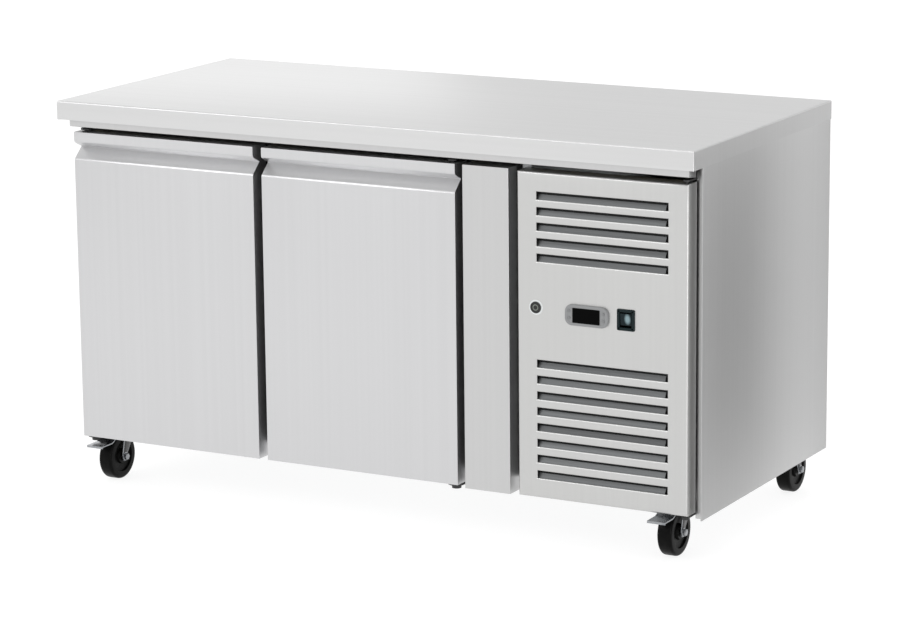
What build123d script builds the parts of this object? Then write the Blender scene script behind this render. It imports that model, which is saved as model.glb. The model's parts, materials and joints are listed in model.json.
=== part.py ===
"""Two-door undercounter refrigerator with a side-mounted condensing unit, on four castors.

Origin: on the floor, under the centre of the bounding box. +X runs to the right along the
front, +Y to the back and +Z up. All sizes are in millimetres.
"""
import os
from math import cos, radians, sin

from build123d import *

# Overall size
width = 1500
depth = 700
height = 850
top_thickness = 40
castor_height = 130
sheet = 1.2
play = 0.05

# Cabinet body
body_left = -720
body_right = width / 2
body_back = 345
frame_face = -274
frame_depth = 12
wall_foam = 42
liner_sheet = 1.0
chamber_back = 294
chamber_floor = 178
chamber_ceiling = 766
chamber_right = 299
partition_x = 346
top_bottom = height - top_thickness
base_top = castor_height + sheet

# Doors, pillar and machine panel
door_front = -338
door_back = -286
door_z = (110, 783)
door_left_x = (-716, -266)
door_right_x = (-245, 214)
gasket_hinge_inset = 20
gasket_latch_inset = 10
gasket_width = 18
pivot_inset = 16
pivot_depth = 25
pin_r = 4
pillar_x = (231, 336)
pillar_z = (106, 783)
panel_x = (354, 732)
panel_z = (106, 780)
panel_front = -335
panel_depth = 40
panel_pivot = (722, -320)
panel_pin_r = 3

# Handle groove, as distances behind the door's front and heights
groove_depth = 27
groove_corner_z = 748
groove_lip_z = 724
band_bottom_z = 766

# Louvres in the machine panel
louvre_x = (394, 691)
louvre_height = 22
louvre_top_group = (605, 5, 31.7)
louvre_bottom_group = (154.5, 8, 33.1)

# Lock, controller and switch
lock_at = (396, 503)
controller_at = (511, 496)
controller_size = (96, 43)
display_size = (58, 28)
switch_at = (597, 496)
switch_size = (39, 44)
key_places = (("set", -38, 8), ("up", -38, -6), ("down", 38, 8), ("defrost", 38, -6))
rocker_axis = 8
trunnion_r = 1.5

# Chamber: opening heights, wire shelves and the evaporator behind its cover
opening_z = (chamber_floor, 742)
shelf_width = 350
shelf_y = (-248, 282)
shelf_z = 440
rim_wire = 3.5
cover_x = 204
evaporator_fan_at = (0, 600)
evaporator_fan_r = 75
blade_pitch = 32

# Condensing unit, pipe entries as (y, z, radius), and the supply cord's gland
condenser_fan_at = (520, 310)
condenser_fan_r = 108
motor_leg = condenser_fan_r + 20
compressor_at = (560, 80)
pipe_entries = ((120, 560, 5), (160, 600, 3.2))
gland_at = (500, 200)
gland_bore_r = 4

# Castors
wheel_r = 50
wheel_width = 32
castor_offset = 30
castor_places = {
    "front_left": (-685, -228, -1),
    "front_right": (668, -228, -1),
    "rear_left": (-685, 268, 1),
    "rear_right": (688, 268, 1),
}
pedal_pivot = (18, 106)
pedal_plate = 2.5
bolt_places = ((-25.5, -30.5), (-25.5, 30.5), (25.5, -30.5), (25.5, 30.5))

nodes = {}


def block(x, y, z):
    """A box from its low and high limits along each axis."""
    size = [high - low for low, high in (x, y, z)]
    middle = [(high + low) / 2 for low, high in (x, y, z)]
    return Pos(*middle) * Box(*size)


def rod(start, direction, length, radius):
    """A round bar from a start point along a direction."""
    return Solid.make_cylinder(radius, length, Plane(origin=start, z_dir=direction))


def tube(start, direction, length, outer, inner):
    """A round bar with a hole right through."""
    return rod(start, direction, length, outer) - rod(start, direction, length, inner)


def bent_tube(points, radius, bend):
    """A pipe through points, with every corner bent to one radius."""
    path = FilletPolyline(*points, radius=bend)
    return sweep(path.location_at(0) * Circle(radius), path=path)


def prism_x(outline, x):
    """Extrude a (y, z) outline between two x limits."""
    face = make_face(Plane.YZ * Polyline(*outline, close=True))
    return Pos(x[0], 0, 0) * extrude(face, amount=x[1] - x[0], dir=(1, 0, 0))


def grown(limits, amount):
    """Move both limits outward, or inward when the amount is negative."""
    return (limits[0] - amount, limits[1] + amount)


def frame(outer_x, outer_z, inner_x, inner_z, y):
    """A flat rectangular frame standing in the XZ plane."""
    return block(outer_x, y, outer_z) - block(inner_x, grown(y, 1), inner_z)


def joined(pieces):
    """One solid from overlapping or touching pieces."""
    whole = pieces[0]
    for piece in pieces[1:]:
        whole = whole + piece
    return whole


# Outer cabinet

def build_worktop():
    x = (-width / 2, width / 2)
    y = (-depth / 2, depth / 2)
    z = (top_bottom, height)
    skin = block(x, y, z)
    skin = fillet(skin.edges().filter_by(Axis.Z), 3)
    skin = fillet(skin.faces().sort_by(Axis.Z)[-1].edges(), 2)
    hollow = block(grown(x, -sheet), grown(y, -sheet), (z[0] - 1, z[1] - sheet))
    hollow = fillet(hollow.edges().filter_by(Axis.Z), 2)
    nodes["worktop_skin"] = skin - hollow
    return block(grown(x, -sheet - 0.6), grown(y, -sheet - 0.6), (z[0], z[1] - sheet))


def build_shell():
    side_z = (92, top_bottom)
    y = (frame_face, body_back - sheet)
    nodes["side_panel_left"] = block((body_left, body_left + sheet), y, (door_z[0], top_bottom))

    wall = block((body_right - sheet, body_right), (-305, body_back), side_z)
    wall += block((body_right - 15, body_right - sheet), (-287, -287 + sheet), side_z)
    nodes["side_panel_right"] = wall

    back_x = (body_left, body_right - sheet)
    back = block(back_x, (body_back - sheet, body_back), (castor_height, top_bottom))
    for row in range(9):
        slot_z = 560 + 20 * row
        back -= block((450, 650), (body_back - 5, body_back + 5), (slot_z, slot_z + 7))
    back -= rod((gland_at[0], body_back - 5, gland_at[1]), (0, 1, 0), 10, 10)
    nodes["back_panel"] = back

    base_x = (body_left + sheet, body_right - sheet)
    base = block(base_x, y, (castor_height, base_top))
    lip = block((partition_x, body_right - 16), (frame_face, frame_face + sheet), (base_top, 165))
    nodes["base_pan"] = base + lip

    wall = block((partition_x - sheet, partition_x), (-290, y[1]), (base_top, top_bottom))
    jamb = block((partition_x, partition_x + 18), (-290, -290 + sheet), (base_top, top_bottom))
    nodes["partition_panel"] = wall + jamb


def build_insulation(worktop_core):
    x = (body_left + sheet, partition_x - sheet)
    y = (frame_face + frame_depth, body_back - sheet)
    z = (base_top, top_bottom)
    liner_x = (body_left + sheet + wall_foam, chamber_right + liner_sheet)
    liner_y = (y[0], chamber_back + liner_sheet)
    liner_z = (chamber_floor - liner_sheet, chamber_ceiling + liner_sheet)
    liner = block(liner_x, liner_y, liner_z)
    room = block(grown(liner_x, -liner_sheet), (liner_y[0] - 1, chamber_back),
                 (chamber_floor, chamber_ceiling))
    right_wall = block((liner_x[1], x[1]), (y[0], liner_y[1]), liner_z)
    for pipe_y, pipe_z, radius in pipe_entries:
        passage = rod((partition_x - 42, pipe_y, pipe_z), (1, 0, 0), 50, radius + 0.2)
        right_wall -= passage
        nodes["partition_panel"] -= passage
    nodes["insulation_foam"] = [
        block(x, y, (z[0], liner_z[0])),
        block(x, y, (liner_z[1], z[1])),
        block(x, (liner_y[1], y[1]), liner_z),
        block((x[0], liner_x[0]), (y[0], liner_y[1]), liner_z),
        right_wall,
        worktop_core,
    ]
    nodes["inner_liner"] = liner - room


def opening_x(door_x, hinge_right):
    """Limits of the chamber opening behind one door, clear of the gasket."""
    hinge = gasket_hinge_inset + gasket_width + 4
    latch = gasket_latch_inset + gasket_width + 4
    if hinge_right:
        return (door_x[0] + latch, door_x[1] - hinge)
    return (door_x[0] + hinge, door_x[1] - latch)


def build_frame():
    y = (frame_face, frame_face + frame_depth)
    bars = block((body_left + sheet, partition_x - sheet), y, (base_top, top_bottom))
    for door_x, hinge_right in ((door_left_x, False), (door_right_x, True)):
        bars -= block(opening_x(door_x, hinge_right), grown(y, 1), opening_z)
    nodes["breaker_frame"] = bars

    outer = block(pillar_x, (door_front, frame_face), pillar_z)
    inner = block(grown(pillar_x, -sheet), (door_front + sheet, frame_face + 1),
                  grown(pillar_z, -sheet))
    nodes["front_pillar"] = fillet(outer.edges().filter_by(Axis.Z).sort_by(Axis.Y)[:2], 1.5) - inner

    rail_x = (-727, body_right - 16)
    lip = block(rail_x, (-336, -305), (801, top_bottom))
    face = block(rail_x, (-305, -305 + sheet), (791, top_bottom))
    nodes["top_front_rail"] = lip + face


# Doors

def groove_outline(front, back, top, bottom, wall):
    """The door's side view with its finger groove; wall is how far inside the skin it lies."""
    corner = front + groove_depth
    with BuildLine(Plane.YZ) as line:
        Line((back, bottom + wall), (back, top - wall))
        Line((back, top - wall), (front + wall, top - wall))
        Line((front + wall, top - wall), (front + wall, band_bottom_z))
        Line((front + wall, band_bottom_z), (front + wall + 1.5, band_bottom_z - 5 + wall))
        Line((front + wall + 1.5, band_bottom_z - 5 + wall), (front + 9, 756.5 + wall))
        Line((front + 9, 756.5 + wall), (corner + wall, groove_corner_z + wall))
        Line((corner + wall, groove_corner_z + wall), (corner + wall, groove_corner_z - 2))
        Line((corner + wall, groove_corner_z - 2), (front + 2.5, groove_lip_z + 3 - wall))
        Line((front + 2.5, groove_lip_z + 3 - wall), (front + wall, groove_lip_z - wall))
        Line((front + wall, groove_lip_z - wall), (front + wall, bottom + wall))
        Line((front + wall, bottom + wall), (back, bottom + wall))
    return make_face(line.line)


def door_body(door_x, wall):
    face = groove_outline(door_front, door_back, door_z[1], door_z[0], wall)
    x = grown(door_x, -wall)
    return Pos(x[0], 0, 0) * extrude(face, amount=x[1] - x[0], dir=(1, 0, 0))


def build_door(side, door_x, hinge_right):
    pivot_x = door_x[1] - pivot_inset if hinge_right else door_x[0] + pivot_inset
    pivot_y = door_front + pivot_depth
    low_hole = rod((pivot_x, pivot_y, door_z[0] - 1), (0, 0, 1), 24, pin_r + play)
    high_hole = rod((pivot_x, pivot_y, door_z[1] - 12), (0, 0, 1), 13, pin_r + play)

    outside = door_body(door_x, 0)
    inside = door_body(door_x, sheet)
    pan_x = grown(door_x, -sheet)
    pan_z = grown(door_z, -sheet)
    pan = block(pan_x, (door_back - 1.5, door_back), pan_z)
    nodes[f"door_{side}_skin"] = outside - inside - pan - low_hole - high_hole

    left_inset = gasket_latch_inset if hinge_right else gasket_hinge_inset
    right_inset = gasket_hinge_inset if hinge_right else gasket_latch_inset
    outer_x = (door_x[0] + left_inset, door_x[1] - right_inset)
    outer_z = grown(door_z, -gasket_hinge_inset)
    inner_x = grown(outer_x, -gasket_width)
    inner_z = grown(outer_z, -gasket_width)
    boss_x = grown(inner_x, -3)
    boss_z = grown(inner_z, -3)
    boss = block(boss_x, (door_back - 1, door_back + 8), boss_z)
    boss = fillet(boss.edges().filter_by(Axis.Y), 12)
    boss = chamfer(boss.faces().sort_by(Axis.Y)[-1].edges(), 4)
    hollow = block(grown(boss_x, -6), (door_back - 2, door_back + 6), grown(boss_z, -6))
    nodes[f"door_{side}_liner"] = pan + boss - hollow
    core = (inside & block(pan_x, (door_front, door_back - 1.5), pan_z)) + hollow
    nodes[f"door_{side}_foam"] = core - low_hole - high_hole

    seal = frame(outer_x, outer_z, inner_x, inner_z, (door_back, frame_face))
    nodes[f"door_{side}_gasket"] = fillet(seal.edges().filter_by(Axis.Y), 1.5)


def upper_bracket(pivot, plate_z, half_width, back_y, radius):
    """A plate over a leaf with a pivot pin that hangs down into it."""
    x, y = pivot
    plate = block((x - half_width, x + half_width), (y, back_y), (plate_z, plate_z + 3))
    nose = rod((x, y, plate_z), (0, 0, 1), 3, half_width)
    pin = rod((x, y, plate_z - 12), (0, 0, 1), 12, radius)
    return plate + nose + pin


def lower_bracket(pivot, plate_z, half_width, boss_drop, radius):
    """A cranked bracket under a leaf: foot, leg, plate, pivot pin and the pin's nut below."""
    x, y = pivot
    reach = (x - half_width, x + half_width)
    plate = block(reach, (y, frame_face), (plate_z, plate_z + 3))
    nose = rod((x, y, plate_z), (0, 0, 1), 3, half_width)
    leg = block(reach, (frame_face - 3, frame_face), (plate_z, castor_height))
    foot = block(reach, (frame_face - 3, frame_face + 6), (castor_height - 3, castor_height))
    pin = rod((x, y, plate_z), (0, 0, 1), 24, radius)
    nut = rod((x, y, plate_z - boss_drop), (0, 0, 1), boss_drop, 2.5 * radius)
    return joined([plate, nose, leg, foot, pin, nut])


def build_hinges():
    pivot_y = door_front + pivot_depth
    brackets = []
    for pivot_x in (door_left_x[0] + pivot_inset, door_right_x[1] - pivot_inset):
        pivot = (pivot_x, pivot_y)
        brackets.append(lower_bracket(pivot, door_z[0] - 4.5, 18, 8, pin_r))
        brackets.append(upper_bracket(pivot, door_z[1] + 3, 12, frame_face, pin_r))
    brackets.append(lower_bracket(panel_pivot, panel_z[0] - 6, 8, 3, panel_pin_r))
    brackets.append(upper_bracket(panel_pivot, panel_z[1] + 4, 8, -285, panel_pin_r))
    nodes["hinge_brackets"] = brackets


# Machine panel and its controls

def louvre_slots(group):
    first, count, pitch = group
    return [first + pitch * index - louvre_height / 2 for index in range(count)]


def louvre_blade(z):
    """A blade behind one slot, rising to the back from below the slot's lower edge."""
    top = z + louvre_height
    front = panel_front + sheet
    outline = [(front - 0.5, z - 1.8), (front - 0.5, z - 0.3),
               (front + 13, top - 4), (front + 13, top - 5.5)]
    return prism_x(outline, grown(louvre_x, 1))


def build_panel():
    front = (panel_front, panel_front + panel_depth)
    outer = block(panel_x, front, panel_z)
    outer = fillet(outer.edges().filter_by(Axis.Z).sort_by(Axis.Y)[:2], 1.5)
    inner = block(grown(panel_x, -sheet), (panel_front + sheet, front[1] + 1), grown(panel_z, -sheet))
    panel = outer - inner
    for group in (louvre_top_group, louvre_bottom_group):
        for z in louvre_slots(group):
            panel -= block(louvre_x, (panel_front - 1, panel_front + sheet + 1), (z, z + louvre_height))
            panel += louvre_blade(z)
    x, z = lock_at
    panel -= rod((x, panel_front - 1, z), (0, 1, 0), 5, 9.5)
    cut = grown((controller_at[0], controller_at[0]), 35.5)
    panel -= block(cut, (panel_front - 1, panel_front + 3), grown((controller_at[1],) * 2, 14.5))
    cut = grown((switch_at[0], switch_at[0]), 15)
    panel -= block(cut, (panel_front - 1, panel_front + 3), grown((switch_at[1],) * 2, 18.5))
    for end in panel_z:
        panel -= rod((panel_pivot[0], panel_pivot[1], end - 2), (0, 0, 1), 4, panel_pin_r + play)
    nodes["machine_panel"] = panel


def build_lock():
    x, z = lock_at
    front = panel_front - 3
    rim = rod((x, front, z), (0, 1, 0), 3, 12)
    body = rod((x, panel_front, z), (0, 1, 0), 38, 9.4)
    bore = rod((x, front - 1, z), (0, 1, 0), 60, 6.5)
    nodes["lock_barrel"] = chamfer(rim.faces().sort_by(Axis.Y)[0].edges(), 0.8) + body - bore
    plug = rod((x, front + 0.4, z), (0, 1, 0), 53.6, 6.5 - play)
    plug -= block((x - 0.9, x + 0.9), (front, front + 6), (z - 4, z + 4))
    cam = block((x - 7, x + 7), (front + 51, front + 54), (z - 39, z + 7))
    cam = fillet(cam.edges().filter_by(Axis.Y), 5)
    nodes["lock_plug"] = plug + cam


def build_controller():
    x, z = controller_at
    half_w, half_h = controller_size[0] / 2, controller_size[1] / 2
    bezel = block((x - half_w, x + half_w), (panel_front - 6, panel_front), (z - half_h, z + half_h))
    bezel = fillet(bezel.edges().filter_by(Axis.Y), 14)
    bezel = fillet(bezel.faces().sort_by(Axis.Y)[0].edges(), 2)
    window = block((x - display_size[0] / 2, x + display_size[0] / 2), (panel_front - 6, panel_front - 4),
                   (z - display_size[1] / 2, z + display_size[1] / 2))
    body = block((x - 35, x + 35), (panel_front, panel_front + 58), (z - 14, z + 14))
    case = bezel - window + body
    for name, dx, dz in key_places:
        at = (x + dx, panel_front - 6, z + dz)
        case -= rod((at[0], at[1] - 1, at[2]), (0, 1, 0), 4, 3.2)
        key = rod((at[0], at[1] - 0.7, at[2]), (0, 1, 0), 2.7, 3.0)
        nodes[f"key_{name}"] = fillet(key.edges().sort_by(Axis.Y)[0], 0.4)
    nodes["controller_case"] = case
    nodes["controller_display"] = window


def build_switch():
    x, z = switch_at
    half_w, half_h = switch_size[0] / 2, switch_size[1] / 2
    rim = block((x - half_w, x + half_w), (panel_front - 2.5, panel_front), (z - half_h, z + half_h))
    rim = fillet(rim.edges().filter_by(Axis.Y), 3)
    body = block((x - 14.5, x + 14.5), (panel_front, panel_front + 30), (z - 18, z + 18))
    well = block((x - 12.2, x + 12.2), (panel_front - 3, panel_front + 14), (z - 16.2, z + 16.2))
    axis_y = panel_front + rocker_axis
    seat = rod((x - 13.5, axis_y, z), (1, 0, 0), 27, trunnion_r + play)
    nodes["switch_frame"] = rim + body - well - seat
    outline = [(-3, 13.2), (0.25, -13.2), (8.5, -12), (8.5, 12)]
    rocker = prism_x([(panel_front + y, z + h) for y, h in outline], (x - 11.8, x + 11.8))
    trunnion = rod((x - 13.4, axis_y, z), (1, 0, 0), 26.8, trunnion_r)
    nodes["switch_rocker"] = fillet(rocker.edges().filter_by(Axis.X), 0.8) + trunnion


# Inside the chamber

def shelf_span(door_x, hinge_right):
    """Limits of a shelf centred in its door opening."""
    low, high = opening_x(door_x, hinge_right)
    middle = (low + high) / 2
    return (middle - shelf_width / 2, middle + shelf_width / 2)


def build_shelf(name, x):
    """A wire shelf: a rim of heavy wire, close cross wires and two stiffeners."""
    y = shelf_y
    z = shelf_z + rim_wire
    rim = block(x, y, (shelf_z, shelf_z + 2 * rim_wire))
    hole = block(grown(x, -2 * rim_wire), grown(y, -2 * rim_wire), (shelf_z - 1, shelf_z + 20))
    rim = fillet(rim.edges().filter_by(Axis.Z), 12) - fillet(hole.edges().filter_by(Axis.Z), 6)
    pieces = [rim]
    count = 15
    for index in range(1, count):
        wire_x = x[0] + (x[1] - x[0]) * index / count
        pieces.append(rod((wire_x, y[0] + rim_wire, z + 1), (0, 1, 0), y[1] - y[0] - 2 * rim_wire, 1.8))
    for share in (0.33, 0.67):
        wire_y = y[0] + (y[1] - y[0]) * share
        pieces.append(rod((x[0] + rim_wire, wire_y, z - 1), (1, 0, 0), x[1] - x[0] - 2 * rim_wire, 2.4))
    nodes[name] = joined(pieces)


def build_shelf_supports(left_x, right_x):
    """Slotted uprights at the walls and the middle, and the ledges that carry the shelves."""
    wall = body_left + sheet + wall_foam + liner_sheet
    middle = (left_x[1] + right_x[0]) / 2
    posts = ((wall, wall + 6), (middle - 12, middle + 12), (cover_x - 6, cover_x))
    ledges = ((posts[0][1], left_x[0] + 14), (left_x[1] - 14, posts[1][0]),
              (posts[1][1], right_x[0] + 14), (right_x[1] - 14, posts[2][0]))
    supports = []
    for post_x in posts:
        for y in (shelf_y[0] + 60, shelf_y[1] - 60):
            supports.append(block(post_x, (y - 12, y + 12), (chamber_floor, chamber_ceiling - 40)))
    for ledge_x in ledges:
        supports.append(block(ledge_x, (shelf_y[0] + 40, shelf_y[1] - 20), (shelf_z - 1.5, shelf_z)))
    nodes["shelf_supports"] = supports


def coil_block(x, y, z, fin_pitch, rows, tube_r):
    """A finned coil: a row of fins crossed by straight tubes, with a plate at each end."""
    fins = []
    count = int((y[1] - y[0]) / fin_pitch)
    for index in range(count + 1):
        at = y[0] + index * fin_pitch
        fins.append(block(x, (at, at + 0.8), z))
    tubes = []
    middle_x = (x[0] + x[1]) / 2
    for row in range(rows):
        at = z[0] + (row + 0.5) * (z[1] - z[0]) / rows
        tubes.append(rod((middle_x, y[0] - 10, at), (0, 1, 0), y[1] - y[0] + 20, tube_r))
    plates = [block(x, (end, end + 1.5), z) for end in (y[0] - 2, y[1] + 1.5)]
    return joined(tubes + fins + plates)


def fan_wheel(centre, direction, hub_r, tip_r, blades, length):
    """An axial fan: a hub with pitched blades round it."""
    plane = Plane(origin=centre, z_dir=direction)
    wheel = Solid.make_cylinder(hub_r, length, plane)
    for index in range(blades):
        turn = Rot(0, 0, 360 * index / blades)
        blade = turn * Pos((hub_r + tip_r) / 2 - 1, 0, length / 2) * Rot(blade_pitch, 0, 0)
        blade = blade * Box(tip_r - hub_r + 2, tip_r * 0.5, 1.6)
        wheel = wheel + plane.location * blade
    return wheel


def build_evaporator():
    fan_y, fan_z = evaporator_fan_at
    coil_x = (cover_x + 36, chamber_right - 14)
    nodes["evaporator_coil"] = coil_block(coil_x, (-150, 170), (470, 720), 10, 6, 4.5)
    cover_y = (-250, 280)
    cover = block((cover_x, chamber_right), cover_y, (440, chamber_ceiling))
    cover -= block((cover_x + sheet, chamber_right + 1), grown(cover_y, -sheet),
                   (439, chamber_ceiling + 1))
    cover -= rod((cover_x - 1, fan_y, fan_z), (1, 0, 0), 4, evaporator_fan_r + 3)
    for share in (0.2, 0.4, 0.6, 0.8):
        ring_r = evaporator_fan_r * share
        cover += tube((cover_x, fan_y, fan_z), (1, 0, 0), sheet, ring_r + 1.2, ring_r - 1.2)
    for angle in range(0, 180, 45):
        spoke = Pos(cover_x + sheet / 2, fan_y, fan_z) * Rot(angle, 0, 0)
        cover += spoke * Box(sheet, 2 * evaporator_fan_r + 10, 2.4)
    nodes["evaporator_cover"] = cover
    tray = block((cover_x + 4, chamber_right - 2), (-230, 260), (400, 432))
    tray -= block((cover_x + 6, chamber_right - 4), (-228, 258), (402, 433))
    spout = tube((chamber_right - 30, 200, 300), (0, 0, 1), 101, 8, 6)
    drain = rod((chamber_right - 30, 200, 300), (0, 0, 1), 110, 6)
    nodes["drip_pan"] = (tray - drain) + spout
    fan = fan_wheel((cover_x + 9, fan_y, fan_z), (1, 0, 0), 18, evaporator_fan_r, 5, 12)
    nodes["evaporator_fan"] = fan - rod((cover_x + 12, fan_y, fan_z), (1, 0, 0), 20, 3 + play)


# Condensing unit

def build_condensing_unit():
    fan_x, fan_z = condenser_fan_at
    tray_z = (base_top, base_top + 2)
    tray = block((partition_x + 14, body_right - 20), (-262, 300), tray_z)
    rims = [block((partition_x + 14, body_right - 20), (y, y + 2), (tray_z[0], tray_z[0] + 18))
            for y in (-262, 298)]
    nodes["unit_tray"] = joined([tray] + rims)

    coil_x = (partition_x + 40, body_right - 60)
    coil_z = (base_top + 22, base_top + 22 + 300)
    fins = coil_block((0, 66), coil_x, coil_z, 9, 9, 4.5)
    nodes["condenser_coil"] = Pos(0, -186, 0) * Rot(0, 0, -90) * fins
    shroud_y = (-184, -110)
    shroud = block(grown(coil_x, 8), shroud_y, (tray_z[1], coil_z[1] + 10))
    shroud -= block(grown(coil_x, 8 - sheet), (shroud_y[0] - 1, shroud_y[1] - sheet),
                    (tray_z[1] + sheet, coil_z[1] + 10 - sheet))
    shroud -= rod((fan_x, shroud_y[0], fan_z), (0, 1, 0), 100, condenser_fan_r + 5)
    nodes["fan_shroud"] = shroud

    wheel = fan_wheel((fan_x, -128, fan_z), (0, 1, 0), 26, condenser_fan_r, 5, 26)
    shaft_hole = rod((fan_x, -126, fan_z), (0, 1, 0), 40, 4 + play)
    nodes["condenser_fan"] = wheel - shaft_hole
    motor = rod((fan_x, -98, fan_z), (0, 1, 0), 46, 34)
    motor = fillet(motor.edges(), 4) + rod((fan_x, -124, fan_z), (0, 1, 0), 28, 4)
    arms = []
    for angle in (30, 150, 270):
        along, up = cos(radians(angle)), sin(radians(angle))
        arms.append(rod((fan_x, -86, fan_z), (along, 0, up), motor_leg, 3))
        foot_start = (fan_x + motor_leg * along, shroud_y[1], fan_z + motor_leg * up)
        arms.append(rod(foot_start, (0, 1, 0), 29, 3.6))
    small_y, small_z = evaporator_fan_at
    small = rod((cover_x + 21.5, small_y, small_z), (1, 0, 0), 12, 16)
    small = fillet(small.edges(), 2) + rod((cover_x + 13, small_y, small_z), (1, 0, 0), 12, 3)
    strap = block((cover_x + 28, cover_x + 31), (-250 + sheet, small_y - 10), (small_z - 8, small_z + 8))
    nodes["fan_motors"] = [joined([motor] + arms), small + strap]

    x, y = compressor_at
    low = tray_z[1] + 16
    top = low + 165
    shell = fillet(rod((x, y, low), (0, 0, 1), 165, 72).edges(), 34)
    seam = rod((x, y, low + 88), (0, 0, 1), 5, 75)
    base_plate = block((x - 88, x + 88), (y - 60, y + 60), (low - 3, low))
    neck = rod((x, y, low - 2), (0, 0, 1), 30, 50)
    terminal = block((x - 108, x - 60), (y - 30, y + 30), (low + 50, low + 110))
    terminal = fillet(terminal.edges().filter_by(Axis.X), 6)
    body = joined([shell, seam, base_plate, neck, terminal])
    feet = []
    for corner_x in (x - 76, x + 76):
        for corner_y in (y - 48, y + 48):
            body -= rod((corner_x, corner_y, low - 5), (0, 0, 1), 8, 6.2)
            foot = rod((corner_x, corner_y, tray_z[1]), (0, 0, 1), 13, 11)
            feet.append(foot + rod((corner_x, corner_y, tray_z[1] + 12), (0, 0, 1), 9, 6))
    nodes["compressor"] = body
    nodes["compressor_mounts"] = feet

    dish = block((partition_x + 30, body_right - 40), (210, 292), (tray_z[1], tray_z[1] + 42))
    dish -= block((partition_x + 32, body_right - 42), (212, 290), (tray_z[1] + 2, tray_z[1] + 43))
    nodes["condensate_tray"] = dish

    (back_y, back_z, back_r), (feed_y, feed_z, feed_r) = pipe_entries
    suction = bent_tube([(x, y, top), (x, y, top + 90), (x - 60, y + 40, top + 150),
                         (partition_x + 20, back_y, back_z), (partition_x - 40, back_y, back_z)],
                        back_r, 18)
    drier = fillet(rod((700, 60, 300), (0, 0, 1), 110, 11).edges(), 5)
    liquid = bent_tube([(700, 60, 301), (700, 60, 240), (700, -60, 200)], feed_r, 14)
    feed = bent_tube([(700, 60, 409), (700, 60, 500), (600, 160, 600), (partition_x - 40, feed_y, feed_z)],
                     feed_r, 18)
    nodes["refrigerant_pipes"] = [suction, joined([drier, liquid, feed])]


def build_gland():
    x, z = gland_at
    flange = tube((x, body_back, z), (0, 1, 0), 5, 14, gland_bore_r)
    sleeve = tube((x, body_back - 14, z), (0, 1, 0), 14, 9.8, gland_bore_r)
    nut = tube((x, body_back - sheet - 6, z), (0, 1, 0), 6, 14, gland_bore_r)
    nodes["cable_gland"] = joined([flange, sleeve, nut])


# Castors and screws

def build_castor(name, x, y, side):
    wheel_y = y + side * castor_offset
    axle_z = wheel_r
    half = wheel_width / 2
    outer = rod((x - half, wheel_y, axle_z), (1, 0, 0), wheel_width, wheel_r)
    outer = fillet(outer.edges(), 6)
    for dish_x, boss_x in ((x - half - 1, x - half), (x + half - 5, x + half - 8)):
        outer -= rod((dish_x, wheel_y, axle_z), (1, 0, 0), 6, 33)
        outer += rod((boss_x, wheel_y, axle_z), (1, 0, 0), 8, 14)
    wheel = outer - rod((x - half - 1, wheel_y, axle_z), (1, 0, 0), wheel_width + 2, 5 + play)
    nodes[f"castor_wheel_{name}"] = wheel

    crown = rod((x, y, 112), (0, 0, 1), 8, 27)
    crown = crown + rod((x, y, 120), (0, 0, 1), 7 - play, 22)
    legs = []
    for edge in (-1, 1):
        x_low = x + edge * (half + 3.5) - 1.5
        outline = [(y - 24, 118), (y + 24, 118), (wheel_y + 9, axle_z + 4),
                   (wheel_y + 5, axle_z - 10), (wheel_y - 5, axle_z - 10), (wheel_y - 9, axle_z + 4)]
        legs.append(prism_x(outline, (x_low, x_low + 3)))
    bridge = block((x - half - 5, x + half + 5), (y - 24, y + 24), (112, 118))
    axle = rod((x - half - 12, wheel_y, axle_z), (1, 0, 0), wheel_width + 24, 5)
    nuts = [rod((end, wheel_y, axle_z), (1, 0, 0), 5, 8) for end in (x - half - 10, x + half + 5)]
    pieces = [crown, bridge, axle] + legs + nuts
    if side < 0:
        pin_start = (x - half - 3, y - pedal_pivot[0], pedal_pivot[1])
        pieces.append(rod(pin_start, (1, 0, 0), wheel_width + 6, 2))
    nodes[f"castor_fork_{name}"] = joined(pieces)

    plate = block((x - 33.5, x + 33.5), (y - 38.5, y + 38.5), (castor_height - 3, castor_height))
    plate = fillet(plate.edges().filter_by(Axis.Z), 5)
    for bolt_x, bolt_y in bolt_places:
        plate -= rod((x + bolt_x, y + bolt_y, castor_height - 4), (0, 0, 1), 5, 4.2)
    return plate


def build_pedal(name, x, y):
    """A brake pedal that hangs on a pin in the fork and reaches out over the tyre."""
    reach_and_height = [(16, 103.4), (42, 103.4), (52, 101), (62, 96.8), (70, 91.2), (78, 88.6), (116, 88.4)]
    under = [(y - reach, z) for reach, z in reach_and_height]
    over = [(at, z + pedal_plate) for at, z in reversed(under)]
    plate = prism_x(under + over, (x - 20, x + 20))
    neck = block((x - 14, x + 14), (y - 60, y), (80, 115))
    toe = block((x - 20, x + 20), (y - 120, y - 60), (80, 115))
    knuckle = rod((x - 14, y - pedal_pivot[0], pedal_pivot[1]), (1, 0, 0), 28, 4)
    pin_hole = rod((x - 15, y - pedal_pivot[0], pedal_pivot[1]), (1, 0, 0), 30, 2 + play)
    lip = block((x - 20, x + 20), (y - 116, y - 114), (86, 88.4 + pedal_plate))
    nodes[f"brake_pedal_{name}"] = joined([plate & neck, plate & toe, knuckle, lip]) - pin_hole


def build_screws():
    screws = []
    for x, y, _ in castor_places.values():
        for bolt_x, bolt_y in bolt_places:
            head = rod((x + bolt_x, y + bolt_y, castor_height - 7), (0, 0, 1), 4, 7)
            shank = rod((x + bolt_x, y + bolt_y, castor_height - 3.5), (0, 0, 1), 3.5, 4)
            screws.append(head + shank)
    for x in (-680, -240, 200, 400, 700):
        for z in (180, 480, 780):
            screws.append(rod((x, body_back, z), (0, 1, 0), 2, 4.5))
    nodes["screws"] = screws


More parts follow.
